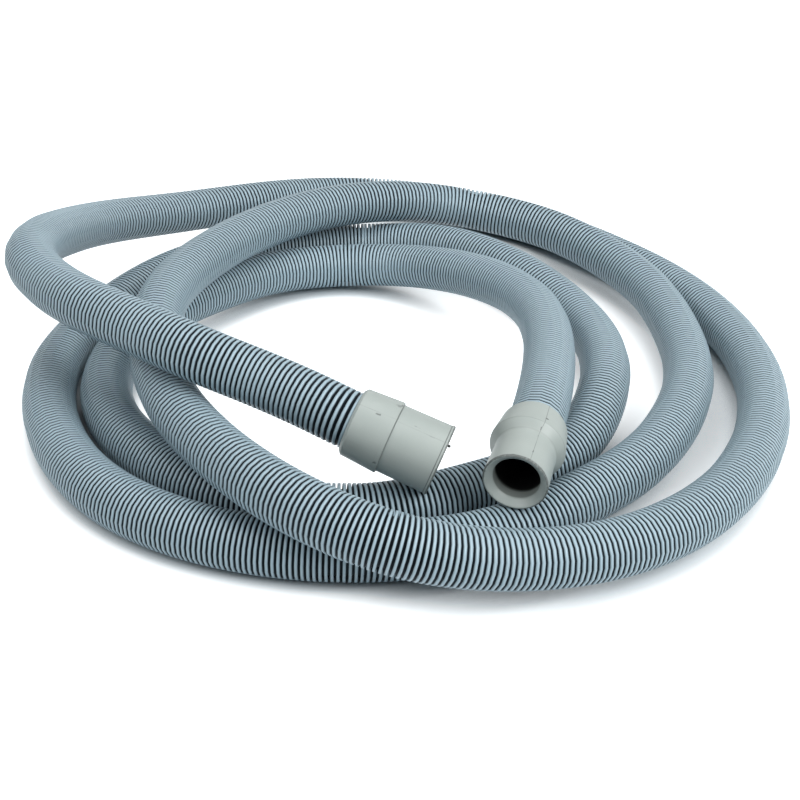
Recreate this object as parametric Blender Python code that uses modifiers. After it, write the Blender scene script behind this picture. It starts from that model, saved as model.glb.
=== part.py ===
"""A corrugated drain hose lying in a loose coil, with a moulded cuff on each end."""

import bmesh
import bpy
import numpy as np
from mathutils import Matrix, Vector

# Driving dimensions in metres
HOSE_DIAMETER = 0.025
HOSE_RADIUS = HOSE_DIAMETER / 2
TUBE_ROUND_COUNT = 4
TUBE_LINE_COUNT = 80
SEAT_GAP = 0.0003
HOSE_SEAT = 0.014
STRAIGHT_LEAD = 0.003
CUFF_STEPS = 40

# One step of the coil's places below: they are drawn for a hose 25 steps thick
STEP = HOSE_DIAMETER / 25

# Wide cuff: lengths from the hose side, and how far its skin stands out beyond the hose
WIDE_LENGTH = 0.0405
WIDE_BACK_WALL = 0.0012
WIDE_COLLAR_WALL = 0.0021
WIDE_COLLAR_END_WALL = 0.0034
WIDE_BODY_WALL = 0.0024
WIDE_MOUTH_WALL = 0.0027
WIDE_LIP_WALL = 0.0030
WIDE_BORE_INSET = 0.0013
WIDE_CHAMFER = 0.0020
WIDE_COLLAR = 0.0173
WIDE_STEP = 0.0004
WIDE_LIP = 0.0012

# Narrow cuff, given the same way
NARROW_LENGTH = 0.0400
NARROW_BACK_WALL = 0.0012
NARROW_COLLAR_WALL = 0.0021
NARROW_COLLAR_END_WALL = 0.0038
NARROW_NOSE_WALL = 0.0018
NARROW_MOUTH_WALL = 0.0012
NARROW_FACE_WALL = 0.0006
NARROW_BORE_INSET = 0.0026
NARROW_CHAMFER = 0.0020
NARROW_COLLAR = 0.0150
NARROW_SHOULDER = 0.0050
NARROW_EDGE = 0.0006

BORE_EDGE = 0.0005

# Where each cuff starts on the hose, and a place its mouth points to, in steps
WIDE_FACE = (-17.5, -142, 50.8)
WIDE_MOUTH = (19.5, -151, 39.3)
NARROW_FACE = (60.5, -126.5, 42)
NARROW_MOUTH = (50, -165, 39.5)

# The middle line of the hose from the wide cuff to the narrow one, in steps
ROUTE = [
    (-34.5, -135.5, 55), (-59, -125.5, 59.5), (-83.5, -117, 64), (-109.5, -103, 66.5), (-138.5, -84.5, 67.5),
    (-166.5, -58, 67), (-180, -35.5, 67), (-183.5, -12, 64.5), (-182, 17, 57.5), (-176.5, 52.5, 47.5),
    (-161.5, 90, 37), (-134, 131.5, 26.5), (-101.5, 162, 21.5), (-58.5, 192.5, 16), (-5, 202, 13.5),
    (44.5, 190, 12.5), (94, 161.5, 12.5), (131.5, 126, 12.5), (162, 84, 12.5), (181.5, 30, 13.5),
    (186, -15.5, 14.5), (179.5, -62.5, 15.5), (161.5, -108.5, 16.5), (139.5, -140.5, 17), (94, -176.5, 18.5),
    (46, -194.5, 23.5), (2, -200, 33), (-38.5, -183.5, 38.3), (-77, -146, 38.8), (-96.5, -118, 39.5),
    (-112, -79, 41), (-118.5, -31.5, 45), (-107.5, 18, 45.5), (-83.5, 70, 43), (-49, 109.5, 41.5),
    (-12, 133.5, 38.5), (25.5, 149.5, 31.5), (59.5, 146, 28), (90.5, 129.5, 26.5), (120, 99.5, 24),
    (140, 62.5, 22), (149, 13, 20.5), (146.5, -38.5, 19.5), (131.5, -80, 17.5), (108.5, -114, 15.5),
    (82, -139, 14.5), (55, -159.5, 13), (-3, -179.5, 12.5), (-64, -177, 12.5), (-122.5, -148.5, 12.5),
    (-147, -119.5, 12.5), (-165.5, -77.5, 13), (-170.5, -36.5, 13), (-163.5, 4, 13), (-148, 43.5, 14),
    (-121, 82.5, 14.5), (-70.5, 113.5, 13.5), (-18.5, 126, 13), (15.5, 117, 18.5), (49, 89.5, 23.5),
    (75.5, 57, 24), (97, 19.5, 22), (105, -26.5, 22), (99, -64, 20.5), (84.5, -94.5, 15), (59.5, -118.5, 12.7),
    (29, -137.5, 12.8), (-4, -152, 12.5), (-38, -154.5, 12.8), (-71, -146, 12.5), (-103, -125, 12.5),
    (-130, -93.5, 12.8), (-142.3, -57, 13.5), (-138.5, -22.5, 17), (-123.5, 8, 20.5), (-103, 39, 19),
    (-75, 70.5, 16), (-41, 87, 14.5), (-7.5, 84.5, 18), (22, 65, 26), (48.5, 36.5, 33.5), (67.5, 3, 37.5),
    (73.5, -43, 39.5), (69, -85.5, 41),
]

# Looks of the two materials: linear colour and roughness
HOSE_LOOK = ("hose_plastic", (0.30, 0.41, 0.45, 1.0), 0.45)
CUFF_LOOK = ("cuff_rubber", (0.50, 0.55, 0.53, 1.0), 0.6)


def clear_scene():
    for old in list(bpy.data.objects):
        bpy.data.objects.remove(old)


def collection(name, parent):
    made = bpy.data.collections.new(name)
    parent.children.link(made)
    return made


def material(look):
    name, colour, rough = look
    made = bpy.data.materials.new(name)
    made.use_nodes = True
    shader = made.node_tree.nodes["Principled BSDF"]
    shader.inputs["Base Color"].default_value = colour
    shader.inputs["Roughness"].default_value = rough
    shader.inputs["Metallic"].default_value = 0.0
    made.diffuse_color = colour
    return made


def axis_of(face, mouth):
    """The place of the cuff's hose side in metres, and the direction to its mouth."""
    return Vector(face) * STEP, (Vector(mouth) - Vector(face)).normalized()


def smooth_line(points, count):
    """Places along the natural cubic spline through the points, evenly spaced by chord."""
    p = np.array(points, dtype=float)
    knot = np.concatenate([[0.0], np.cumsum(np.linalg.norm(np.diff(p, axis=0), axis=1))])
    gap = np.diff(knot)
    size = len(p)
    left = np.eye(size)
    right = np.zeros((size, 3))
    for i in range(1, size - 1):
        left[i, i - 1] = gap[i - 1]
        left[i, i] = 2 * (gap[i - 1] + gap[i])
        left[i, i + 1] = gap[i]
        right[i] = 6 * ((p[i + 1] - p[i]) / gap[i] - (p[i] - p[i - 1]) / gap[i - 1])
    bend = np.linalg.solve(left, right)
    at = np.linspace(0.0, knot[-1], count)
    k = np.clip(np.searchsorted(knot, at, side="right") - 1, 0, size - 2)
    h = gap[k][:, None]
    a = (knot[k + 1] - at)[:, None]
    b = (at - knot[k])[:, None]
    cubic = (bend[k] * a**3 + bend[k + 1] * b**3) / (6 * h)
    return cubic + (p[k] / h - bend[k] * h / 6) * a + (p[k + 1] / h - bend[k + 1] * h / 6) * b


def evenly(line, count):
    """The same line with its points at equal steps of length."""
    run = np.concatenate([[0.0], np.cumsum(np.linalg.norm(np.diff(line, axis=0), axis=1))])
    at = np.linspace(0.0, run[-1], count)
    return np.stack([np.interp(at, run, line[:, i]) for i in range(3)], axis=1)


def hose_points():
    """Middle line of the tube: straight inside each cuff, smooth and above the floor between."""
    wide, wide_way = axis_of(WIDE_FACE, WIDE_MOUTH)
    narrow, narrow_way = axis_of(NARROW_FACE, NARROW_MOUTH)
    first = wide - wide_way * STRAIGHT_LEAD
    last = narrow - narrow_way * STRAIGHT_LEAD
    inner = [Vector(p) * STEP for p in ROUTE]
    line = evenly(smooth_line([first, *inner, last], TUBE_LINE_COUNT * 40), TUBE_LINE_COUNT - 2)
    line[:, 2] = np.maximum(line[:, 2], HOSE_RADIUS)
    line[0] = first
    line[-1] = last
    return [wide + wide_way * HOSE_SEAT, *line.tolist(), narrow + narrow_way * HOSE_SEAT]


def hose(home, look):
    """The plain tube of the hose, closed at both ends, as one mesh."""
    points = hose_points()
    curve = bpy.data.curves.new("hose_line", "CURVE")
    curve.dimensions = "3D"
    curve.twist_mode = "Z_UP"
    curve.bevel_depth = HOSE_RADIUS
    curve.bevel_resolution = TUBE_ROUND_COUNT
    curve.use_fill_caps = True
    spline = curve.splines.new("POLY")
    spline.points.add(len(points) - 1)
    for knot, place in zip(spline.points, points):
        knot.co = (*place, 1.0)
    guide = bpy.data.objects.new("hose_guide", curve)
    home.objects.link(guide)
    bpy.context.view_layer.update()
    shown = guide.evaluated_get(bpy.context.evaluated_depsgraph_get())
    mesh = bpy.data.meshes.new_from_object(shown)
    bpy.data.objects.remove(guide)
    join_doubles(mesh)
    made = bpy.data.objects.new("hose", mesh)
    home.objects.link(made)
    finish(made, look)
    return made


def join_doubles(mesh):
    work = bmesh.new()
    work.from_mesh(mesh)
    bmesh.ops.remove_doubles(work, verts=work.verts, dist=0.00001)
    bmesh.ops.recalc_face_normals(work, faces=work.faces)
    work.to_mesh(mesh)
    work.free()


def finish(made, look):
    made.data.materials.clear()
    made.data.materials.append(look)
    made.data.shade_smooth()
    made.data.set_sharp_from_angle(angle=0.6)


def turned(name, profile, face, mouth, home, look):
    """A closed profile of radius and distance from the hose side, turned about the cuff's axis."""
    start, way = axis_of(face, mouth)
    mesh = bpy.data.meshes.new(name)
    corners = [(radius, 0.0, -along) for radius, along in profile]
    edges = [(i, (i + 1) % len(corners)) for i in range(len(corners))]
    mesh.from_pydata(corners, edges, [])
    made = bpy.data.objects.new(name, mesh)
    home.objects.link(made)
    screw = made.modifiers.new("turn", "SCREW")
    screw.axis = "Z"
    screw.steps = CUFF_STEPS
    screw.render_steps = CUFF_STEPS
    screw.use_merge_vertices = True
    screw.merge_threshold = 0.00005
    made.matrix_world = Matrix.Translation(start) @ (-way).to_track_quat("Z", "Y").to_matrix().to_4x4()
    bpy.context.view_layer.update()
    shown = made.evaluated_get(bpy.context.evaluated_depsgraph_get())
    solid = bpy.data.meshes.new_from_object(shown)
    made.modifiers.clear()
    made.data = solid
    join_doubles(solid)
    finish(made, look)
    return made


def socket():
    """The inner side of the hose seat, from its floor back to the hose side."""
    bore = HOSE_RADIUS + SEAT_GAP
    return [(bore, HOSE_SEAT + SEAT_GAP), (bore, 0.0)]


def wide_profile():
    """The straight cuff: chamfer, slightly flared collar, small step, body and rolled lip."""
    length = WIDE_LENGTH
    lip = length - WIDE_LIP
    outer = [
        (HOSE_RADIUS + WIDE_BACK_WALL, 0.0),
        (HOSE_RADIUS + WIDE_COLLAR_WALL, WIDE_CHAMFER),
        (HOSE_RADIUS + WIDE_COLLAR_END_WALL, WIDE_COLLAR),
        (HOSE_RADIUS + WIDE_BODY_WALL, WIDE_COLLAR + WIDE_STEP),
        (HOSE_RADIUS + WIDE_MOUTH_WALL, lip - BORE_EDGE),
        (HOSE_RADIUS + WIDE_LIP_WALL, lip),
        (HOSE_RADIUS + WIDE_LIP_WALL, length - BORE_EDGE),
        (HOSE_RADIUS + WIDE_MOUTH_WALL, length),
    ]
    inner = [
        (HOSE_RADIUS - WIDE_BORE_INSET + BORE_EDGE, length),
        (HOSE_RADIUS - WIDE_BORE_INSET, length - BORE_EDGE),
        (HOSE_RADIUS - WIDE_BORE_INSET, HOSE_SEAT + SEAT_GAP),
    ]
    return outer + inner + socket()


def narrow_profile():
    """The stepped cuff: chamfer, flared collar, sloping shoulder and tapered nose."""
    length = NARROW_LENGTH
    outer = [
        (HOSE_RADIUS + NARROW_BACK_WALL, 0.0),
        (HOSE_RADIUS + NARROW_COLLAR_WALL, NARROW_CHAMFER),
        (HOSE_RADIUS + NARROW_COLLAR_END_WALL, NARROW_COLLAR),
        (HOSE_RADIUS + NARROW_NOSE_WALL, NARROW_COLLAR + NARROW_SHOULDER),
        (HOSE_RADIUS + NARROW_MOUTH_WALL, length - NARROW_EDGE),
        (HOSE_RADIUS + NARROW_FACE_WALL, length),
    ]
    inner = [
        (HOSE_RADIUS - NARROW_BORE_INSET + BORE_EDGE, length),
        (HOSE_RADIUS - NARROW_BORE_INSET, length - BORE_EDGE),
        (HOSE_RADIUS - NARROW_BORE_INSET, HOSE_SEAT + SEAT_GAP),
    ]
    return outer + inner + socket()


def set_on_floor(parts):
    """Moves all pieces together so that their box stands centred on the floor."""
    bpy.context.view_layer.update()
    places = [part.matrix_world @ v.co for part in parts for v in part.data.vertices]
    low = [min(p[i] for p in places) for i in range(3)]
    high = [max(p[i] for p in places) for i in range(3)]
    shift = Vector((-(low[0] + high[0]) / 2, -(low[1] + high[1]) / 2, -low[2]))
    print("shift to the shared frame in millimetres:", [round(v * 1000, 3) for v in shift])
    for part in parts:
        part.matrix_world = Matrix.Translation(shift) @ part.matrix_world


def main():
    clear_scene()
    home = collection("hose_coil", bpy.context.scene.collection)
    hose_look = material(HOSE_LOOK)
    cuff_look = material(CUFF_LOOK)
    tube = hose(home, hose_look)
    wide = turned("wide_cuff", wide_profile(), WIDE_FACE, WIDE_MOUTH, home, cuff_look)
    narrow = turned("narrow_cuff", narrow_profile(), NARROW_FACE, NARROW_MOUTH, home, cuff_look)
    set_on_floor([tube, wide, narrow])


main()
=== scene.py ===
import math

import bmesh
import bpy
import numpy as np
from mathutils import Matrix, Vector


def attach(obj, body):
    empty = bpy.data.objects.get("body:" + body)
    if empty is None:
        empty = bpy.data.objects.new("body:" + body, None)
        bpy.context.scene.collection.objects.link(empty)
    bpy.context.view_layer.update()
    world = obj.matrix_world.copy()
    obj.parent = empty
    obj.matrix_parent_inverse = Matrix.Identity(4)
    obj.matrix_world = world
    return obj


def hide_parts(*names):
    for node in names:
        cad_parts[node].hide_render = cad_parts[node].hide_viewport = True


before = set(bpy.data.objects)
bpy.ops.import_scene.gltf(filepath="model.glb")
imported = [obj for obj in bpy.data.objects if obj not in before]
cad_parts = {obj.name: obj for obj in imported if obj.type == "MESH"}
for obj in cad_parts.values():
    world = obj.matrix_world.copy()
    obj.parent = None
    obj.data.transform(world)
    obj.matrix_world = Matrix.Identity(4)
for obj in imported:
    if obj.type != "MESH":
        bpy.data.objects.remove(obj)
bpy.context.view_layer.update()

# Sizes in metres
MM = 0.001
SHIFT = Vector((-1.394, -0.672, 0.0)) * MM
HOSE_R = 0.0125
GROOVE_DEPTH = 0.0025
BORE_R = 0.0094
BORE_DEPTH = 0.03
HOSE_SEAT = 0.0138
BEND_REACH = 0.003
END_MARGIN = 0.001

# Sides round the hose, points along its line and for its ring spacing, and steps round a cuff
SIDES = 16
LINE_POINTS = 12000
SPACING_POINTS = 20000
CUFF_STEPS = 120

# Where a ring's groove ends, its crest starts and ends, and its next groove starts, in shares of a ring
GROOVE_END = 0.17
CREST_START = 0.22
CREST_END = 0.78
GROOVE_START = 0.83

# Each cuff's seam as a part of a turn, and the radius in millimetres at which marks are measured
WIDE_SEAM = 0.180
NARROW_SEAM = 0.312
SKIN_R = 15.0

# What faces inwards is mapped this many millimetres further along the cuff
INSIDE_SHIFT = 100.0

# Bores, rims and hose seat of both cuffs in metres, and the width of the wide one's lip
WIDE_BORE = 0.0112
WIDE_RIM = 0.0155
WIDE_LIP = 0.0012
NARROW_BORE = 0.0099
NARROW_RIM = 0.0137
SEAT_R = 0.0128
SEAT_FLOOR = 0.0143

# The worn rim: its depth in millimetres, its band at the outer edge, and the wear further in
RIM_DEPTH = 1.0
RIM_BAND = 0.0008
INNER_WEAR = 0.62

# The stub of the moulding gate: its radius, its place on the rim, and its turn from the seam
NIB_R = 0.00065
NIB_FAR = 0.0148
NIB_STAND = 0.0005
NIB_TURN = 0.006

# Dark marks on each cuff: round it from the seam, along it, half width, half height in mm, strength
WIDE_MARKS = (
    (-1.0, 9.6, 0.5, 1.1, 0.6), (7.4, 16.0, 1.0, 1.4, 0.4), (8.4, 16.9, 0.9, 0.5, 0.6),
    (-20.6, 16.0, 0.8, 0.8, 0.6), (1.3, 25.5, 0.3, 1.5, 0.25), (-0.2, 33.5, 0.3, 1.4, 0.25),
    (12.6, 40.2, 1.2, 1.0, 0.6), (30.0, 60.0, 0.5, 0.5, 1.0),
)

# A place on the wide cuff's map that only the stub uses: the last mark above darkens it
NIB_SPOT = (30.0, 60.0)

NARROW_MARKS = (
    (0.6, 12.2, 0.8, 0.5, 0.75), (-0.2, 18.0, 0.35, 0.7, 0.6), (-0.1, 22.0, 0.3, 0.9, 0.4),
    (0.0, 33.5, 0.35, 0.7, 0.75),
)

# Dark rings painted on each cuff, mostly painted shade in its creases, its steps and under its lip, with
# thin dark lines at the rims: distance along it, half width in mm, strength
WIDE_SHADE_RINGS = ((17.55, 0.35, 0.5), (38.95, 0.32, 0.6), (40.4, 0.2, 0.4))
NARROW_SHADE_RINGS = ((0.1, 0.4, 0.5), (15.6, 0.25, 0.2), (19.3, 0.5, 0.12), (39.3, 0.2, 0.5))

# Light of the studio: lamps as name, place and width in metres, and power in watts
AMBIENT = 0.06
LAMPS = (
    ("top_softbox", (0.0, 0.1, 1.2), 1.0, 7.8),
    ("right_softbox", (1.1, -0.1, 0.8), 0.8, 2.5),
    ("near_right_softbox", (0.7, -0.6, 0.8), 0.6, 9.0),
    ("near_left_softbox", (-0.6, -0.6, 0.8), 0.6, 4.2),
)

FLOOR_GREY = (0.62, 0.68, 0.71, 1)
FLOOR_GLOW = 0.95

# The shade round the hose on the table: how far it reaches, and how open a place is black and white
SHADE_REACH = 0.025
SHADE_BLACK = 0.22
SHADE_WHITE = 0.77

# Camera of the photograph, turned down from level and rolled
PHOTO_PX = 800
FOCAL_PX = 1189.3
PITCH_DOWN = math.radians(31.158)
ROLL = math.radians(2.869)
EYE = Vector((2.0, -560.0, 314.65)) * MM + SHIFT

# Spacing of the rings in millimetres, at distances along the hose, as the photograph shows it
SPACING = (
    (0, 2.55), (60, 2.35), (100, 2.25), (170, 2.2), (290, 2.6), (370, 2.9), (430, 2.6),
    (600, 2.5), (940, 2.45), (975, 2.32), (1070, 2.35), (1120, 2.5), (1145, 2.2), (1170, 2.08),
    (1200, 2.25), (1245, 2.58), (1290, 2.48), (1370, 2.3), (1400, 2.15), (1445, 2.45), (1475, 2.6),
    (1570, 2.5), (1620, 2.8), (1660, 2.6), (1780, 2.55), (1900, 2.2), (1970, 2.28), (2040, 2.4),
    (2140, 2.22), (2220, 2.13), (2300, 2.22), (2420, 2.4), (2550, 2.3), (2640, 2.55), (2760, 2.4),
    (2850, 2.1), (2900, 2.3), (2980, 2.33), (3090, 2.27), (3145, 2.12), (3200, 2.22), (3270, 2.28),
    (3310, 2.55), (3400, 2.53), (3430, 2.4), (3470, 2.1), (3550, 2.2), (3700, 2.2),
)

# Route of the hose, in millimetres, as in the part's source
WIDE_FACE = (-17.5, -142, 50.8)
WIDE_MOUTH = (19.5, -151, 39.3)
NARROW_FACE = (60.5, -126.5, 42)
NARROW_MOUTH = (50, -165, 39.5)
STRAIGHT_LEAD = 0.003
WIDE_LENGTH = 0.0405
NARROW_LENGTH = 0.0400
ROUTE = [
    (-34.5, -135.5, 55), (-59, -125.5, 59.5), (-83.5, -117, 64), (-109.5, -103, 66.5),
    (-138.5, -84.5, 67.5), (-166.5, -58, 67), (-180, -35.5, 67), (-183.5, -12, 64.5), (-182, 17, 57.5),
    (-176.5, 52.5, 47.5), (-161.5, 90, 37), (-134, 131.5, 26.5), (-101.5, 162, 21.5),
    (-58.5, 192.5, 16), (-5, 202, 13.5), (44.5, 190, 12.5), (94, 161.5, 12.5), (131.5, 126, 12.5),
    (162, 84, 12.5), (181.5, 30, 13.5), (186, -15.5, 14.5), (179.5, -62.5, 15.5), (161.5, -108.5, 16.5),
    (139.5, -140.5, 17), (94, -176.5, 18.5), (46, -194.5, 23.5), (2, -200, 33), (-38.5, -183.5, 38.3),
    (-77, -146, 38.8), (-96.5, -118, 39.5), (-112, -79, 41), (-118.5, -31.5, 45), (-107.5, 18, 45.5),
    (-83.5, 70, 43), (-49, 109.5, 41.5), (-12, 133.5, 38.5), (25.5, 149.5, 31.5), (59.5, 146, 28),
    (90.5, 129.5, 26.5), (120, 99.5, 24), (140, 62.5, 22), (149, 13, 20.5), (146.5, -38.5, 19.5),
    (131.5, -80, 17.5), (108.5, -114, 15.5), (82, -139, 14.5), (55, -159.5, 13), (-3, -179.5, 12.5),
    (-64, -177, 12.5), (-122.5, -148.5, 12.5), (-147, -119.5, 12.5), (-165.5, -77.5, 13),
    (-170.5, -36.5, 13), (-163.5, 4, 13), (-148, 43.5, 14), (-121, 82.5, 14.5), (-70.5, 113.5, 13.5),
    (-18.5, 126, 13), (15.5, 117, 18.5), (49, 89.5, 23.5), (75.5, 57, 24), (97, 19.5, 22),
    (105, -26.5, 22), (99, -64, 20.5), (84.5, -94.5, 15), (59.5, -118.5, 12.7), (29, -137.5, 12.8),
    (-4, -152, 12.5), (-38, -154.5, 12.8), (-71, -146, 12.5), (-103, -125, 12.5), (-130, -93.5, 12.8),
    (-142.3, -57, 13.5), (-138.5, -22.5, 17), (-123.5, 8, 20.5), (-103, 39, 19), (-75, 70.5, 16),
    (-41, 87, 14.5), (-7.5, 84.5, 18), (22, 65, 26), (48.5, 36.5, 33.5), (67.5, 3, 37.5),
    (73.5, -43, 39.5), (69, -85.5, 41),
]


def axis_of(face, mouth):
    """A cuff's hose side in the shared frame and the direction towards its mouth."""
    return Vector(face) * MM + SHIFT, (Vector(mouth) - Vector(face)).normalized()


def place_camera():
    """The camera, from its place, its tilt and its roll."""
    data = bpy.data.cameras.new("photo_camera")
    data.sensor_width = 36.0
    data.lens = FOCAL_PX / PHOTO_PX * data.sensor_width
    data.clip_start = 0.01
    camera = bpy.data.objects.new("photo_camera", data)
    bpy.context.scene.collection.objects.link(camera)
    right = Vector((1, 0, 0))
    up = Vector((0, math.sin(PITCH_DOWN), math.cos(PITCH_DOWN)))
    back = Vector((0, -math.cos(PITCH_DOWN), math.sin(PITCH_DOWN)))
    x = right * math.cos(ROLL) + up * math.sin(ROLL)
    y = up * math.cos(ROLL) - right * math.sin(ROLL)
    turn = Matrix((x, y, back)).transposed().to_4x4()
    camera.matrix_world = Matrix.Translation(EYE) @ turn
    bpy.context.scene.camera = camera


def smooth_line(points, count):
    """Places along the natural cubic spline through the points."""
    p = np.array(points, dtype=float)
    knot = np.concatenate([[0.0], np.cumsum(np.linalg.norm(np.diff(p, axis=0), axis=1))])
    gap = np.diff(knot)
    size = len(p)
    left = np.eye(size)
    right = np.zeros((size, 3))
    for i in range(1, size - 1):
        left[i, i - 1] = gap[i - 1]
        left[i, i] = 2 * (gap[i - 1] + gap[i])
        left[i, i + 1] = gap[i]
        right[i] = 6 * ((p[i + 1] - p[i]) / gap[i] - (p[i] - p[i - 1]) / gap[i - 1])
    bend = np.linalg.solve(left, right)
    at = np.linspace(0.0, knot[-1], count)
    k = np.clip(np.searchsorted(knot, at, side="right") - 1, 0, size - 2)
    h = gap[k][:, None]
    a = (knot[k + 1] - at)[:, None]
    b = (at - knot[k])[:, None]
    cubic = (bend[k] * a**3 + bend[k + 1] * b**3) / (6 * h)
    return cubic + (p[k] / h - bend[k] * h / 6) * a + (p[k + 1] / h - bend[k + 1] * h / 6) * b


def route_line():
    """The hose's middle line in the shared frame, thickly sampled, from seat to seat."""
    wide, wide_way = axis_of(WIDE_FACE, WIDE_MOUTH)
    narrow, narrow_way = axis_of(NARROW_FACE, NARROW_MOUTH)
    inner = [Vector(p) * MM + SHIFT for p in ROUTE]
    points = [
        wide + wide_way * HOSE_SEAT, wide - wide_way * STRAIGHT_LEAD, *inner,
        narrow - narrow_way * STRAIGHT_LEAD, narrow + narrow_way * HOSE_SEAT,
    ]
    line = smooth_line([tuple(p) for p in points], LINE_POINTS)
    line[:, 2] = np.maximum(line[:, 2], HOSE_R)
    return line


def along(line, at):
    """Points and directions at the given distances along the line."""
    run = np.concatenate([[0.0], np.cumsum(np.linalg.norm(np.diff(line, axis=0), axis=1))])
    spot = np.stack([np.interp(at, run, line[:, i]) for i in range(3)], axis=1)
    step = 0.0005
    ahead = np.stack([np.interp(at + step, run, line[:, i]) for i in range(3)], axis=1)
    behind = np.stack([np.interp(at - step, run, line[:, i]) for i in range(3)], axis=1)
    way = ahead - behind
    return spot, way / np.linalg.norm(way, axis=1)[:, None]


def carried_frames(way):
    """Two directions across the line at each point, carried along it without twist."""
    side = np.cross(way[0], (0.0, 0.0, 1.0))
    side /= np.linalg.norm(side)
    sides = []
    for direction in way:
        side = side - direction * np.dot(side, direction)
        side /= np.linalg.norm(side)
        sides.append(side)
    sides = np.array(sides)
    return sides, np.cross(way, sides)


def ring_starts(total):
    """Distances along the hose at which one ring after another starts."""
    at = np.linspace(0.0, total, SPACING_POINTS)
    spots = np.array([far * MM for far, _ in SPACING])
    gaps = np.array([gap * MM for _, gap in SPACING])
    pace = 1.0 / np.interp(at, spots, gaps)
    count = np.concatenate([[0.0], np.cumsum((pace[1:] + pace[:-1]) / 2 * np.diff(at))])
    return lambda number: np.interp(number, count, at), int(count[-1])


def build_hose():
    """The corrugated tube, one loop of points after another, with a bore at both ends."""
    line = route_line()
    total = float(np.linalg.norm(np.diff(line, axis=0), axis=1).sum())
    place_of, rings = ring_starts(total)
    deep = HOSE_R - GROOVE_DEPTH
    profile = (
        (GROOVE_END, CREST_START, deep), (CREST_START, CREST_START, HOSE_R),
        (CREST_END, CREST_END, HOSE_R), (GROOVE_START, CREST_END, deep),
    )
    number = np.array([ring + part for ring in range(rings) for part, _, _ in profile][1:-1])
    held = np.array([ring + part for ring in range(rings) for _, part, _ in profile][1:-1])
    radius = np.array([size for _ in range(rings) for _, _, size in profile][1:-1])
    reach = place_of(held) - place_of(np.floor(held) + 0.5)
    first = place_of(number[0])
    last = place_of(number[-1])
    at = np.concatenate([[first + BORE_DEPTH, first], place_of(number), [last, last - BORE_DEPTH]])
    reach = np.concatenate([[0.0, reach[0]], reach, [reach[-1], 0.0]])
    radius = np.concatenate([[BORE_R, BORE_R], radius, [BORE_R, BORE_R]])
    number = np.concatenate([[0.0, 0.0], number, [rings, rings]])
    spot, way = along(line, at)
    side, up = carried_frames(way)
    turn = np.linspace(0.0, 2 * math.pi, SIDES, endpoint=False)
    shell = side[:, None, :] * np.cos(turn)[None, :, None] + up[:, None, :] * np.sin(turn)[None, :, None]
    shell *= radius[:, None, None]
    # A ring keeps its width round a bend, so the grooves open outside it and close inside it
    ahead = np.minimum(at + BEND_REACH, total - END_MARGIN)
    behind = np.maximum(at - BEND_REACH, END_MARGIN)
    bend = (along(line, ahead)[1] - along(line, behind)[1]) / (ahead - behind)[:, None]
    slip = reach[:, None] * (shell * bend[:, None, :]).sum(axis=2)
    rows = spot[:, None, :] + shell + slip[:, :, None] * way[:, None, :]
    mesh = bpy.data.meshes.new("hose_skin")
    faces = []
    flat = []
    for i in range(len(at) - 1):
        for j in range(SIDES):
            k = (j + 1) % SIDES
            faces.append((i * SIDES + j, i * SIDES + k, (i + 1) * SIDES + k, (i + 1) * SIDES + j))
            for step, row in ((0, i), (1, i), (1, i + 1), (0, i + 1)):
                flat.append(((j + step) / SIDES, number[row]))
    back = (len(at) - 1) * SIDES
    faces.append(tuple(reversed(range(SIDES))))
    faces.append(tuple(back + j for j in range(SIDES)))
    flat += [(0.0, 0.0)] * (2 * SIDES)
    mesh.from_pydata(rows.reshape(-1, 3).tolist(), [], faces)
    uv = mesh.uv_layers.new(name="hose_map")
    uv.data.foreach_set("uv", np.array(flat).ravel())
    mesh.shade_smooth()
    hose = bpy.data.objects.new("hose_skin", mesh)
    bpy.context.scene.collection.objects.link(hose)
    path, _ = along(line, place_of(np.arange(rings) + 0.5))
    return hose, path, total


def ring_shape(name, profile, length, bore, rim, seam, face, mouth):
    """A closed profile of (radius, distance from the hose side) turned about a cuff's axis."""
    start, way = axis_of(face, mouth)
    mesh = bmesh.new()
    corners = [mesh.verts.new((radius, 0.0, -far)) for radius, far in profile]
    edges = [mesh.edges.new((corners[i], corners[(i + 1) % len(corners)])) for i in range(len(corners))]
    bmesh.ops.spin(
        mesh, geom=corners + edges, cent=(0, 0, 0), axis=(0, 0, 1), angle=2 * math.pi,
        steps=CUFF_STEPS, use_merge=True, use_normal_flip=False,
    )
    bmesh.ops.remove_doubles(mesh, verts=mesh.verts, dist=0.00001)
    bmesh.ops.recalc_face_normals(mesh, faces=mesh.faces)
    inside = mesh.verts.layers.float.new("bore_depth")
    outer = mesh.verts.layers.float.new("rim_edge")
    for vert in mesh.verts:
        reach = math.hypot(vert.co.x, vert.co.y)
        depth = (length + vert.co.z) / MM
        if reach < bore + 0.0002:
            vert[inside] = depth
        if depth < RIM_DEPTH:
            vert[outer] = 1.0 if reach > rim - RIM_BAND else INNER_WEAR
    map_skin(mesh, seam)
    data = bpy.data.meshes.new(name)
    mesh.to_mesh(data)
    mesh.free()
    data.transform(Matrix.Translation(start) @ (-way).to_track_quat("Z", "Y").to_matrix().to_4x4())
    data.shade_smooth()
    data.set_sharp_from_angle(angle=math.radians(50))
    made = bpy.data.objects.new(name, data)
    bpy.context.scene.collection.objects.link(made)
    return made


def map_skin(mesh, seam):
    """Maps the skin in millimetres: round it from its seam, and along it from the hose side.

    What doesn't face outwards is mapped further on, clear of the marks."""
    uv = mesh.loops.layers.uv.new("cuff_map")
    for one in mesh.faces:
        middle = one.calc_center_median()
        base = turns_from(middle, seam)
        facing = one.normal.dot(Vector((middle.x, middle.y, 0.0)).normalized())
        inner = INSIDE_SHIFT if facing < 0.3 else 0.0
        for loop in one.loops:
            angle = turns_from(loop.vert.co, seam)
            angle += round(base - angle)
            loop[uv].uv = (angle * 2 * math.pi * SKIN_R, inner - loop.vert.co.z / MM)


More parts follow.
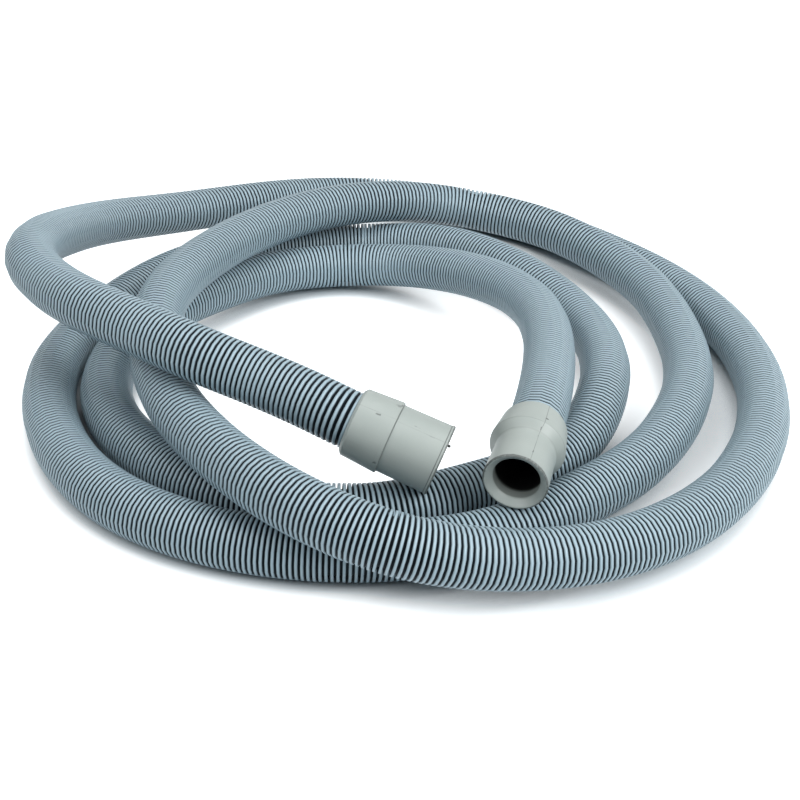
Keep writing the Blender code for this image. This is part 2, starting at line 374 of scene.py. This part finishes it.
def turns_from(place, seam):
    """The part of a turn from the seam to the place, from -0.5 to 0.5."""
    turns = math.atan2(place.y, place.x) / (2 * math.pi) - seam
    return turns - round(turns)


def rounded(profile, cut):
    """The closed profile with each corner cut back by the given distance and rounded in three steps."""
    out = []
    n = len(profile)
    for i in range(n):
        before = Vector(profile[i - 1])
        here = Vector(profile[i])
        after = Vector(profile[(i + 1) % n])
        size = cut[i]
        if size <= 0:
            out.append(tuple(here))
            continue
        a = here + (before - here).normalized() * size
        b = here + (after - here).normalized() * size
        for t in (0.0, 0.33, 0.67, 1.0):
            out.append(tuple(a * (1 - t) ** 2 + here * 2 * t * (1 - t) + b * t ** 2))
    return out


def wide_cuff():
    """The straight cuff: crisp back edge, flared collar, small step, body and rolled lip."""
    length = WIDE_LENGTH
    lip = length - WIDE_LIP
    points = [
        (0.0134, 0.0), (0.0149, 0.0013), (0.0159, 0.0173), (0.0149, 0.0177),
        (0.0152, lip - 0.0004), (WIDE_RIM, lip), (WIDE_RIM, length - 0.0005), (0.0152, length),
        (0.0117, length), (WIDE_BORE, length - 0.0005), (WIDE_BORE, SEAT_FLOOR),
        (SEAT_R, SEAT_FLOOR), (SEAT_R, 0.0),
    ]
    cut = [
        0.0002, 0.00015, 0.00012, 0.00012, 0.0001, 0.0001, 0.0001, 0.0002,
        0.0002, 0.0002, 0.0, 0.0, 0.0,
    ]
    made = ring_shape(
        "wide_cuff_shell", rounded(points, cut), length, WIDE_BORE, WIDE_RIM,
        WIDE_SEAM, WIDE_FACE, WIDE_MOUTH,
    )
    add_nib(made, length)
    return made


def add_nib(cuff, length):
    """The stub of the moulding gate, left standing on the wide cuff's rim beside its seam."""
    start, way = axis_of(WIDE_FACE, WIDE_MOUTH)
    angle = (WIDE_SEAM - NIB_TURN) * 2 * math.pi
    local = Vector((NIB_FAR * math.cos(angle), NIB_FAR * math.sin(angle), -length - NIB_STAND))
    turn = (-way).to_track_quat("Z", "Y").to_matrix().to_4x4()
    mesh = bmesh.new()
    mesh.from_mesh(cuff.data)
    place = Matrix.Translation(start) @ turn @ Matrix.Translation(local)
    made = bmesh.ops.create_icosphere(mesh, subdivisions=2, radius=NIB_R, matrix=place)
    uv = mesh.loops.layers.uv["cuff_map"]
    for vert in made["verts"]:
        for loop in vert.link_loops:
            loop[uv].uv = NIB_SPOT
    mesh.to_mesh(cuff.data)
    mesh.free()


def narrow_cuff():
    """The stepped cuff: flared collar, sloping shoulder, slim nose and a wide chamfer in its mouth."""
    length = NARROW_LENGTH
    points = [
        (0.0137, 0.0), (0.0146, 0.0020), (0.0163, 0.0155), (0.0130, 0.0195),
        (0.0136, length - 0.0015), (NARROW_RIM, length - 0.0005), (0.0132, length), (0.0126, length),
        (NARROW_BORE, length - 0.0027), (NARROW_BORE, SEAT_FLOOR), (SEAT_R, SEAT_FLOOR), (SEAT_R, 0.0),
    ]
    cut = [0.0002, 0.0006, 0.0005, 0.0012, 0.0, 0.0002, 0.0002, 0.0003, 0.0008, 0.0, 0.0, 0.0]
    return ring_shape(
        "narrow_cuff_shell", rounded(points, cut), length, NARROW_BORE, NARROW_RIM,
        NARROW_SEAM, NARROW_FACE, NARROW_MOUTH,
    )


def new_material(name):
    """A node material with its nodes and links."""
    made = bpy.data.materials.new(name)
    made.use_nodes = True
    return made, made.node_tree.nodes, made.node_tree.links


def hose_material():
    """Grey plastic with a touch of dust on its crests, painted shade towards the edges of its crests, and
    groove bottoms painted nearly black as shade.
    """
    made, nodes, links = new_material("grey_hose_plastic")
    shader = nodes["Principled BSDF"]
    shader.inputs["Specular IOR Level"].default_value = 0.45
    where = nodes.new("ShaderNodeUVMap")
    where.uv_map = "hose_map"
    split = nodes.new("ShaderNodeSeparateXYZ")
    links.new(where.outputs["UV"], split.inputs["Vector"])
    part = math_node(nodes, links, "FRACT", split.outputs["Y"], 0.0)
    away = math_node(nodes, links, "ABSOLUTE", math_node(nodes, links, "SUBTRACT", part, 0.5), 0.0)
    # Painted shade: the groove bottoms are painted nearly black, and the crests are painted darker towards
    # their edges
    painted_shade = smooth_step(nodes, links, away, 0.2795, 0.290)
    edge = math_node(nodes, links, "MULTIPLY", smooth_step(nodes, links, away, 0.08, 0.30), 0.35)
    painted_shade = math_node(nodes, links, "MAXIMUM", painted_shade, edge)
    spot = nodes.new("ShaderNodeTexCoord")
    tint = noise(nodes, links, spot.outputs["Object"], 14.0)
    crest = colour_mix(nodes, links, tint, (0.34, 0.46, 0.53, 1), (0.39, 0.52, 0.59, 1))
    dust = smooth_step(nodes, links, noise(nodes, links, spot.outputs["Object"], 320.0), 0.62, 0.8)
    dust = math_node(nodes, links, "MULTIPLY", dust, 0.35)
    crest = colour_mix(nodes, links, dust, crest, (0.5, 0.58, 0.6, 1))
    skin = colour_mix(nodes, links, painted_shade, crest, (0.001, 0.008, 0.014, 1))
    links.new(skin, shader.inputs["Base Color"])
    rough = nodes.new("ShaderNodeMapRange")
    rough.inputs["To Min"].default_value = 0.34
    rough.inputs["To Max"].default_value = 0.8
    links.new(painted_shade, rough.inputs["Value"])
    links.new(rough.outputs["Result"], shader.inputs["Roughness"])
    return made


def smooth_step(nodes, links, value, low, high):
    """0 below the low value, 1 above the high one and smooth between; low may exceed high."""
    made = nodes.new("ShaderNodeMapRange")
    made.interpolation_type = "SMOOTHSTEP"
    made.inputs["From Min"].default_value = min(low, high)
    made.inputs["From Max"].default_value = max(low, high)
    if low > high:
        made.inputs["To Min"].default_value = 1.0
        made.inputs["To Max"].default_value = 0.0
    links.new(value, made.inputs["Value"])
    return made.outputs["Result"]


def noise(nodes, links, place, scale):
    """Soft noise from 0 to 1 at the given scale."""
    made = nodes.new("ShaderNodeTexNoise")
    made.inputs["Scale"].default_value = scale
    made.inputs["Detail"].default_value = 4.0
    links.new(place, made.inputs["Vector"])
    return made.outputs["Fac"]


def colour_mix(nodes, links, share, first, second):
    """A colour between two, each a colour or a socket, by the share of the second."""
    made = nodes.new("ShaderNodeMix")
    made.data_type = "RGBA"
    links.new(share, made.inputs["Factor"])
    for socket, value in ((made.inputs["A"], first), (made.inputs["B"], second)):
        if isinstance(value, tuple):
            socket.default_value = value
        else:
            links.new(value, socket)
    return made.outputs["Result"]


def cuff_material(name, marks, rings, seam_strength):
    """Pale rubber with its seam, dark marks, dark rings that are mostly painted shade, a worn rim and
    painted shade in its bore.
    """
    made, nodes, links = new_material(name)
    shader = nodes["Principled BSDF"]
    shader.inputs["Roughness"].default_value = 0.42
    spot = nodes.new("ShaderNodeTexCoord")
    where = nodes.new("ShaderNodeUVMap")
    where.uv_map = "cuff_map"
    split = nodes.new("ShaderNodeSeparateXYZ")
    links.new(where.outputs["UV"], split.inputs["Vector"])
    grain = noise(nodes, links, spot.outputs["Object"], 900.0)
    tone = noise(nodes, links, spot.outputs["Object"], 70.0)
    skin = colour_mix(nodes, links, tone, (0.315, 0.36, 0.345, 1), (0.385, 0.43, 0.41, 1))
    dark = seam_mask(nodes, links, split.outputs["X"], tone, seam_strength)
    for across, far, width, height, strength in marks:
        one = mark_mask(nodes, links, where.outputs["UV"], grain, (across, far), (width, height))
        one = math_node(nodes, links, "MULTIPLY", one, strength)
        dark = math_node(nodes, links, "MAXIMUM", dark, one)
    # Painted shade: dark rings in the cuff's creases and steps
    for far, width, strength in rings:
        off = math_node(nodes, links, "SUBTRACT", split.outputs["Y"], far)
        off = math_node(nodes, links, "ABSOLUTE", off, 0.0)
        one = smooth_step(nodes, links, off, width, 0.4 * width)
        one = math_node(nodes, links, "MULTIPLY", one, strength)
        dark = math_node(nodes, links, "MAXIMUM", dark, one)
    edge = nodes.new("ShaderNodeAttribute")
    edge.attribute_name = "rim_edge"
    uneven = math_node(nodes, links, "SUBTRACT", grain, 0.5)
    frayed = math_node(nodes, links, "ADD", edge.outputs["Fac"], uneven)
    worn = math_node(nodes, links, "MULTIPLY", smooth_step(nodes, links, frayed, 0.62, 1.0), 0.7)
    dark = math_node(nodes, links, "MAXIMUM", dark, worn)
    skin = colour_mix(nodes, links, dark, skin, (0.03, 0.035, 0.035, 1))
    bore = nodes.new("ShaderNodeAttribute")
    bore.attribute_name = "bore_depth"
    # Painted shade in the bore: it darkens behind its chamfer, and is black further in
    first = smooth_step(nodes, links, bore.outputs["Fac"], 2.7, 3.6)
    first = math_node(nodes, links, "MULTIPLY", first, 0.4)
    shade = smooth_step(nodes, links, bore.outputs["Fac"], 5.0, 9.0)
    shade = math_node(nodes, links, "MAXIMUM", first, shade)
    skin = colour_mix(nodes, links, shade, skin, (0.002, 0.002, 0.002, 1))
    links.new(skin, shader.inputs["Base Color"])
    bump = nodes.new("ShaderNodeBump")
    bump.inputs["Strength"].default_value = 0.15
    bump.inputs["Distance"].default_value = 0.0002
    links.new(grain, bump.inputs["Height"])
    links.new(bump.outputs["Normal"], shader.inputs["Normal"])
    return made


def seam_mask(nodes, links, across, tone, strength):
    """The thin parting line, broken here and there."""
    off = math_node(nodes, links, "ABSOLUTE", across, 0.0)
    line = smooth_step(nodes, links, off, 0.22, 0.08)
    broken = smooth_step(nodes, links, tone, 0.38, 0.56)
    return math_node(nodes, links, "MULTIPLY", line, math_node(nodes, links, "MULTIPLY", broken, strength))


def mark_mask(nodes, links, skin_map, grain, centre, size):
    """An uneven spot of the given half width and half height in millimetres."""
    shift = nodes.new("ShaderNodeVectorMath")
    shift.operation = "SUBTRACT"
    links.new(skin_map, shift.inputs[0])
    shift.inputs[1].default_value = (*centre, 0.0)
    scale = nodes.new("ShaderNodeVectorMath")
    scale.operation = "DIVIDE"
    links.new(shift.outputs["Vector"], scale.inputs[0])
    scale.inputs[1].default_value = (*size, 1.0)
    length = nodes.new("ShaderNodeVectorMath")
    length.operation = "LENGTH"
    links.new(scale.outputs["Vector"], length.inputs[0])
    ragged = math_node(nodes, links, "MULTIPLY", math_node(nodes, links, "SUBTRACT", grain, 0.5), 3.0)
    rough = math_node(nodes, links, "ADD", length.outputs["Value"], ragged)
    return smooth_step(nodes, links, rough, 1.2, 0.5)


def math_node(nodes, links, kind, first, second):
    """A math node fed by two values or sockets."""
    made = nodes.new("ShaderNodeMath")
    made.operation = kind
    for socket, value in zip(made.inputs, (first, second)):
        if isinstance(value, (int, float)):
            socket.default_value = value
        else:
            links.new(value, socket)
    return made.outputs[0]


def seen_directly(nodes, links):
    """1 on rays that come straight, mirrored or through glass from the camera, 0 on others."""
    path = nodes.new("ShaderNodeLightPath")
    seen = math_node(nodes, links, "MAXIMUM", path.outputs["Is Camera Ray"], path.outputs["Is Glossy Ray"])
    return math_node(nodes, links, "MAXIMUM", seen, path.outputs["Is Transmission Ray"])


def floor_material():
    """A table that lights the hose as light grey, and looks white except close to the hose."""
    made, nodes, links = new_material("white_table")
    shader = nodes["Principled BSDF"]
    shader.inputs["Base Color"].default_value = FLOOR_GREY
    shader.inputs["Roughness"].default_value = 0.7
    shader.inputs["Specular IOR Level"].default_value = 0.1
    near = nodes.new("ShaderNodeAmbientOcclusion")
    near.samples = 16
    near.inputs["Distance"].default_value = SHADE_REACH
    open_part = nodes.new("ShaderNodeMapRange")
    open_part.interpolation_type = "SMOOTHSTEP"
    open_part.inputs["From Min"].default_value = SHADE_BLACK
    open_part.inputs["From Max"].default_value = SHADE_WHITE
    open_part.inputs["To Max"].default_value = FLOOR_GLOW
    links.new(near.outputs["AO"], open_part.inputs["Value"])
    seen = seen_directly(nodes, links)
    glow = math_node(nodes, links, "MULTIPLY", seen, open_part.outputs["Result"])
    links.new(glow, shader.inputs["Emission Strength"])
    shader.inputs["Emission Color"].default_value = (1, 1, 1, 1)
    return made


def floor_and_light():
    """The table, the even light of the room and the lamps."""
    bpy.ops.mesh.primitive_plane_add(size=8.0, location=(0, 0, -0.0001))
    floor = bpy.context.active_object
    floor.name = "floor"
    floor.data.materials.append(floor_material())
    world = bpy.data.worlds.new("studio")
    bpy.context.scene.world = world
    world.use_nodes = True
    nodes = world.node_tree.nodes
    links = world.node_tree.links
    level = nodes.new("ShaderNodeMapRange")
    level.inputs["To Min"].default_value = AMBIENT
    level.inputs["To Max"].default_value = 1.0
    links.new(seen_directly(nodes, links), level.inputs["Value"])
    back = nodes["Background"]
    back.inputs["Color"].default_value = (1, 1, 1, 1)
    links.new(level.outputs["Result"], back.inputs["Strength"])
    for name, place, size, power in LAMPS:
        area(name, place, size, power)


def area(name, place, size, power):
    """A square lamp that faces the middle of the coil."""
    data = bpy.data.lights.new(name, "AREA")
    data.size = size
    data.energy = power
    lamp = bpy.data.objects.new(name, data)
    bpy.context.scene.collection.objects.link(lamp)
    aim = Vector((0, 0, 0)) - Vector(place)
    lamp.matrix_world = Matrix.Translation(place) @ aim.to_track_quat("-Z", "Y").to_matrix().to_4x4()


place_camera()
hose, hose_path, hose_length = build_hose()
wide = wide_cuff()
narrow = narrow_cuff()
hose.data.materials.append(hose_material())
wide.data.materials.append(cuff_material("pale_rubber_wide", WIDE_MARKS, WIDE_SHADE_RINGS, 0.2))
narrow.data.materials.append(cuff_material("pale_rubber_narrow", NARROW_MARKS, NARROW_SHADE_RINGS, 0.45))
for piece, node, slot in (
    (hose, "hose", "hose_plastic"),
    (wide, "wide_cuff", "cuff_rubber"),
    (narrow, "narrow_cuff", "cuff_rubber"),
):
    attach(piece, "root")
    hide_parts(node)
floor_and_light()
bpy.context.scene.view_settings.view_transform = "Standard"
